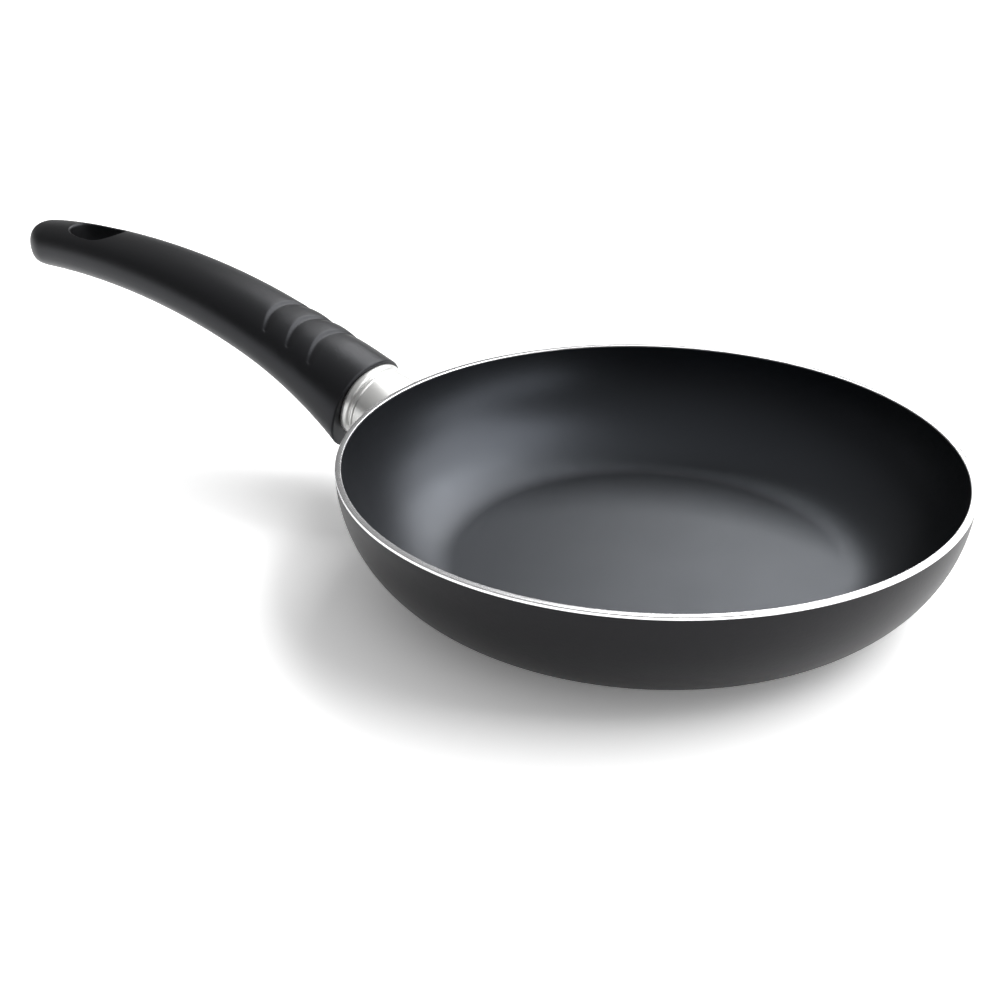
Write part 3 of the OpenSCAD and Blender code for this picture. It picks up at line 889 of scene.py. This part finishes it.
class Slot:
    """The hanging slot's cutter, whose rounded edges follow the crowned surface."""

    def __init__(self, moulding):
        self.moulding = moulding
        self.sizes = h = moulding.sizes
        self.mid = moulding.spine.at(moulding.total - h.slot_margin - h.slot_len / 2)[0].x

    def point(self, turn, grow):
        """A point round the slot, seen from above."""
        h = self.sizes
        run, share = section(turn, h.slot_len + 2 * grow, 2, SLOT_SQUARE)
        wide = (h.slot_w + h.slot_tail_w) / 2 - (h.slot_w - h.slot_tail_w) * run / h.slot_len
        return self.mid + run, share * (wide / 2 + grow)

    def surface_z(self, x, y, side):
        """Height of the handle's top, for side 1, or its underside, for side -1."""
        s = self.moulding.spine.length_at_x(x)
        share = min(abs(2 * y / self.moulding.width(s)), WIDEST)
        n = self.sizes.squareness
        return (self.moulding.spine.at(s)[0].y
                + side * self.moulding.thickness(s) / 2 * (1 - share ** n) ** (1 / n))

    def ring(self, grow, depth, side):
        """A ring of a rounded edge, at a depth under the surface."""
        made = []
        for t in turns(SLOT_POINTS):
            x, y = self.point(t, grow)
            made.append((x, y, self.surface_z(x, y, side) - side * depth))
        return made

    def end(self, side):
        """The cutter's end, clear of the handle."""
        z = face_z() + self.sizes.lift + side * self.sizes.tail_t
        return [(*self.point(t, self.sizes.slot_round), z) for t in turns(SLOT_POINTS)]

    def rings(self):
        """All rings of the cutter, from its lower end up."""
        size = self.sizes.slot_round
        edge = [(size * (1 - sin(a)), size * (1 - cos(a)))
                for a in (radians(d) for d in SLOT_TURNS)]
        edge.append((size, -SLOT_RISE * size))
        return ([self.end(-1)] + [self.ring(g, d, -1) for g, d in reversed(edge)]
                + [self.ring(g, d, 1) for g, d in edge] + [self.end(1)])


def rod(name, start, end, radius, flat=None):
    """A cutter along the screw's axis, with two flats if flat is given."""
    def ring(at):
        made = []
        for t in turns(ROD_POINTS):
            side = radius * sin(t)
            if flat is not None:
                side = min(max(side, -flat), flat)
            made.append(axis_point(at, side, radius * cos(t)))
        return made
    return piece(name, *skin([ring(start), ring(end)]))


def carve(target, cutters):
    """Cuts the cutters out of the target for good."""
    for cutter in cutters:
        cut = target.modifiers.new(cutter.name, "BOOLEAN")
        cut.operation, cut.solver, cut.object = "DIFFERENCE", "EXACT", cutter
    graph = bpy.context.evaluated_depsgraph_get()
    mesh = bpy.data.meshes.new_from_object(target.evaluated_get(graph))
    target.modifiers.clear()
    target.data = mesh
    for cutter in cutters:
        bpy.data.objects.remove(cutter)


class OMELETTE_PAN_OT_handle(bpy.types.Operator):
    """Moulds the handle and cuts its slot, its screw's way and the stud's socket"""
    bl_idname = "omelette_pan.handle"
    bl_label = "Handle"

    def execute(self, context):
        moulding = Moulding()
        slot = Slot(moulding)
        h = moulding.sizes
        made = piece("moulded_handle", *skin(moulding.rings()),
                     finish("moulded_phenolic", phenolic))
        way_out = (slot.mid - face_x()) / cos(moulding.tilt)
        carve(made, [piece("slot_cutter", *skin(slot.rings())),
                     rod("access", h.shoulder, way_out, h.access_r),
                     rod("screw_way", 0, h.shoulder + CUT_PAST, h.screw_r),
                     rod("socket_front", -h.nose - CUT_PAST, 0, h.socket_r),
                     rod("socket_back", -CUT_PAST, h.socket_depth, h.socket_r, h.socket_flat)])
        shade(made.data, HANDLE_SHARP)
        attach(made, "root")
        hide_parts("handle")
        return {"FINISHED"}


class OMELETTE_PAN_OT_fastening(bpy.types.Operator):
    """Finishes the stud, the screw and its washers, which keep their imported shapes"""
    bl_idname = "omelette_pan.fastening"
    bl_label = "Fastening"

    def execute(self, context):
        for node, name, paint in (("handle_stud", "turned_aluminium", turned),
                                  ("handle_screw", "zinc_plate", plated),
                                  ("flat_washer", "zinc_plate", plated),
                                  ("spring_washer", "zinc_plate", plated)):
            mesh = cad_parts[node].data
            mesh.materials.clear()
            mesh.materials.append(finish(name, paint))
        return {"FINISHED"}


# Studio

HORIZON = 0.15  # rise of the backdrop's upper edge, as a sine
HORIZON_SOFT = 0.06  # how softly the backdrop ends there
BACKDROP_SOFT = 0.4  # how softly it ends at the sides
SENSOR = 36  # width of the camera's sensor, in millimetres
NEAREST, FARTHEST = 0.01, 100  # what the camera sees, in metres from it


def floor_paint(shader, studio):
    """A floor that is whiter where it is seen, keeps the shadow, and can't be seen from below."""
    camera, gloss, glass = shader.rays()
    seen = camera.at_least(gloss).at_least(glass)
    white = shader.blend(seen, rgba(studio.floor), rgba(studio.floor, studio.floor_seen))
    matt = shader.add("ShaderNodeBsdfDiffuse", None, {"Color": white})
    lift = shader.add("ShaderNodeEmission", None,
                      {"Color": (1, 1, 1, 1), "Strength": seen * studio.floor_glow})
    lit = shader.add("ShaderNodeAddShader", None, {0: matt, 1: lift})
    below = shader.add("ShaderNodeNewGeometry", out="Backfacing")
    shader.output(shader.add("ShaderNodeMixShader", None,
                             {0: below, 1: lit, 2: shader.add("ShaderNodeBsdfTransparent")}))


def world_paint(shader, studio, away):
    """Light that grows towards overhead, white where the camera looks, and for gloss and glass a
    white backdrop low on the side that the camera faces."""
    x, y, z = shader.split(shader.add("ShaderNodeTexCoord", out="Generated"))
    facing = x * away.x + y * away.y
    light = z.at_least(0.0) * studio.sky
    backdrop = facing.above(0.0, soft=BACKDROP_SOFT) * (1 - z.above(HORIZON, soft=HORIZON_SOFT))
    camera, gloss, glass = shader.rays()
    white = camera.at_least(gloss.at_least(glass) * backdrop)
    glow = shader.add("ShaderNodeBackground", None,
                      {"Color": (1, 1, 1, 1), "Strength": light + white * (1 - light)})
    shader.output(glow, "ShaderNodeOutputWorld")


def add_camera(scene, studio):
    """The camera at the photograph's angle."""
    eye, aim = Vector(studio.eye), Vector(studio.aim)
    camera = bpy.data.objects.new("view_camera", bpy.data.cameras.new("view_camera"))
    scene.collection.objects.link(camera)
    camera.location = eye
    camera.rotation_mode = "QUATERNION"
    camera.rotation_quaternion = (aim - eye).to_track_quat("-Z", "Y")
    camera.data.lens = studio.lens
    camera.data.sensor_width = SENSOR
    camera.data.clip_start, camera.data.clip_end = NEAREST, FARTHEST
    scene.camera = camera


def add_floor(studio):
    """The plain floor, whose top is the surface that the pan stands on."""
    half = studio.floor_half
    corners = [(-half, -half, 0), (half, -half, 0), (half, half, 0), (-half, half, 0)]
    material = bpy.data.materials.new("white_table")
    material.use_nodes = True
    floor_paint(Shader(material.node_tree), studio)
    piece("table_top", corners, [(0, 1, 2, 3)], material)


def add_world(scene, studio, away):
    """The light from all round."""
    scene.world = bpy.data.worlds.new("studio")
    scene.world.use_nodes = True
    world_paint(Shader(scene.world.node_tree), studio, away)


def add_softbox(scene, studio, name, away):
    """A rectangular lamp that faces the pan, turned to the right of the camera's view."""
    turn, rise, wide, high, power = (
        getattr(studio, f"{name}_{key}") for key in ("turn", "rise", "w", "h", "power"))
    right = Vector((away.y, -away.x))
    ahead = away * cos(turn) + right * sin(turn)
    out = Vector((*(ahead * cos(rise)), sin(rise)))
    light = bpy.data.lights.new(name + "_lamp", "AREA")
    light.shape, light.size, light.size_y = "RECTANGLE", wide, high
    light.energy = power * pi * wide * high
    lamp = bpy.data.objects.new(name + "_lamp", light)
    scene.collection.objects.link(lamp)
    lamp.location = out * studio.lamps_far
    lamp.rotation_mode = "QUATERNION"
    lamp.rotation_quaternion = (-out).to_track_quat("-Z", "Y")


class OMELETTE_PAN_OT_studio(bpy.types.Operator):
    """Sets the camera, the floor and the lights"""
    bl_idname = "omelette_pan.studio"
    bl_label = "Studio"

    def execute(self, context):
        scene, studio = context.scene, sizes("studio")
        away = (Vector(studio.aim) - Vector(studio.eye)).to_2d().normalized()
        add_camera(scene, studio)
        add_floor(studio)
        add_world(scene, studio, away)
        for name in ("key", "back", "low"):
            add_softbox(scene, studio, name, away)
        scene.view_settings.view_transform = "Standard"
        return {"FINISHED"}


# Add-on

OPERATORS = (OMELETTE_PAN_OT_studio, OMELETTE_PAN_OT_body, OMELETTE_PAN_OT_coats,
             OMELETTE_PAN_OT_guard, OMELETTE_PAN_OT_handle, OMELETTE_PAN_OT_fastening)


class OMELETTE_PAN_PT_panel(bpy.types.Panel):
    """Lists the steps that build the pan's looks, and their settings"""
    bl_label = "Omelette Pan"
    bl_idname = "OMELETTE_PAN_PT_panel"
    bl_space_type = "VIEW_3D"
    bl_region_type = "UI"
    bl_category = "Pan"

    def draw(self, context):
        for operator in OPERATORS:
            self.layout.operator(operator.bl_idname)
        for group, kind in GROUPS.items():
            box = self.layout.box()
            box.label(text=group.title())
            for key in kind.__annotations__:
                box.prop(sizes(group), key)


CLASSES = (*OPERATORS, OMELETTE_PAN_PT_panel)


def register():
    for group, kind in GROUPS.items():
        bpy.utils.register_class(kind)
        setattr(bpy.types.Scene, "omelette_pan_" + group, PointerProperty(type=kind))
    for kind in CLASSES:
        bpy.utils.register_class(kind)


def unregister():
    for kind in reversed(CLASSES):
        bpy.utils.unregister_class(kind)
    for group, kind in reversed(GROUPS.items()):
        delattr(bpy.types.Scene, "omelette_pan_" + group)
        bpy.utils.unregister_class(kind)


def main():
    register()
    bpy.ops.omelette_pan.studio()
    bpy.ops.omelette_pan.body()
    bpy.ops.omelette_pan.coats()
    bpy.ops.omelette_pan.guard()
    bpy.ops.omelette_pan.handle()
    bpy.ops.omelette_pan.fastening()


if __name__ == "__main__":
    main()
